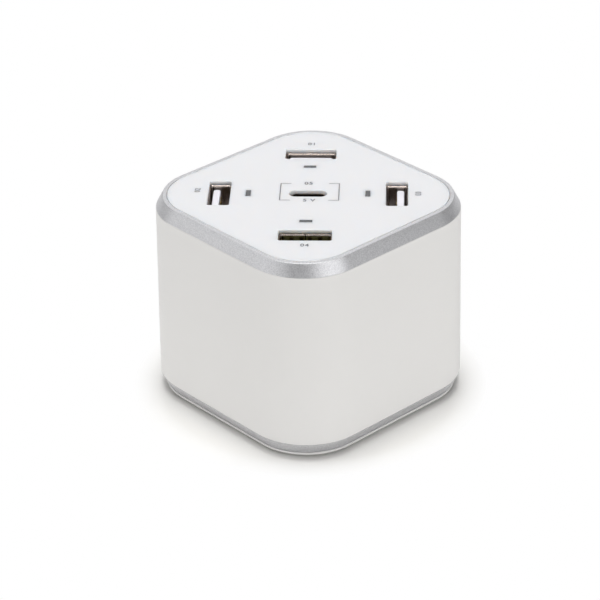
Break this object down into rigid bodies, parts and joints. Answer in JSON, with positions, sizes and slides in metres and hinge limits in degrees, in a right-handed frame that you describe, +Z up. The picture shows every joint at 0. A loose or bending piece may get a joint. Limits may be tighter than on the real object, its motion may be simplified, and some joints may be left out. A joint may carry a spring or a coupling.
{
  "type": "multi port usb desktop charger",
  "caption": "Cube-shaped desktop USB charger with rounded corners, silver trim rings and upward-facing USB-A ports round a central USB-C port, each with an indicator window.",
  "frame": {"origin": "centre of the underside, on the desk that the feet stand on", "axes": "+Z up; -Y towards the corner with the green-tongued port, where the legends read upright; +X to the right of that corner; the flat sides are at 45 degrees to X and Y"},
  "size_m": [0.0776, 0.0776, 0.0545],
  "materials": {
    "gloss_white": "gloss white moulding",
    "satin_white": "satin off-white moulding",
    "silver": "silver plated moulding",
    "steel": "bright nickel plated sheet",
    "white_insulator": "white moulding",
    "green_insulator": "green moulding",
    "black_plastic": "black moulding",
    "gold_contact": "gold plated",
    "smoked_window": "smoked clear moulding",
    "board": "green solder mask",
    "screw_steel": "zinc plated",
    "rubber_foot": "grey rubber",
    "ferrite": "ferrite grey",
    "copper": "enamelled copper wire",
    "can": "sleeved aluminium can",
    "heat_sink": "plain",
    "component_yellow": "yellow case",
    "component_blue": "blue coating"
  },
  "bodies": {
    "root": {"ac_inlet_housing": "black_plastic", "ac_inlet_pins": "screw_steel", "base_plate": "satin_white", "base_screws": "screw_steel", "bottom_ring": "silver", "bridge_rectifier": "black_plastic", "bulk_capacitor_1": "can", "bulk_capacitor_2": "can", "charge_controllers": "black_plastic", "choke_core": "ferrite", "choke_windings": "copper", "foot_front": "rubber_foot", "foot_left": "rubber_foot", "foot_rear": "rubber_foot", "foot_right": "rubber_foot", "fuse": "black_plastic", "light_pipe_front": "smoked_window", "light_pipe_left": "smoked_window", "light_pipe_rear": "smoked_window", "light_pipe_right": "smoked_window", "link_board": "board", "optocoupler": "black_plastic", "output_capacitor_1": "can", "output_capacitor_2": "can", "port_board": "board", "port_board_screws": "screw_steel", "port_inductors": "ferrite", "power_board": "board", "power_board_screws": "screw_steel", "power_transistor": "black_plastic", "primary_heatsink": "heat_sink", "pwm_controller": "black_plastic", "secondary_heatsink": "heat_sink", "side_shell": "satin_white", "status_leds": "component_yellow", "top_panel": "gloss_white", "top_ring": "silver", "transformer_bobbin": "black_plastic", "transformer_core_lower": "ferrite", "transformer_core_upper": "ferrite", "transformer_winding": "component_yellow", "usb_a_contacts_front": "gold_contact", "usb_a_contacts_left": "gold_contact", "usb_a_contacts_rear": "gold_contact", "usb_a_contacts_right": "gold_contact", "usb_a_shell_front": "steel", "usb_a_shell_left": "steel", "usb_a_shell_rear": "steel", "usb_a_shell_right": "steel", "usb_a_tongue_front": "green_insulator", "usb_a_tongue_left": "white_insulator", "usb_a_tongue_rear": "white_insulator", "usb_a_tongue_right": "white_insulator", "usb_c_contacts": "gold_contact", "usb_c_riser": "black_plastic", "usb_c_shell": "steel", "usb_c_tongue": "black_plastic", "x_capacitor": "component_yellow", "y_capacitor": "component_blue"}
  },
  "joints": []
}
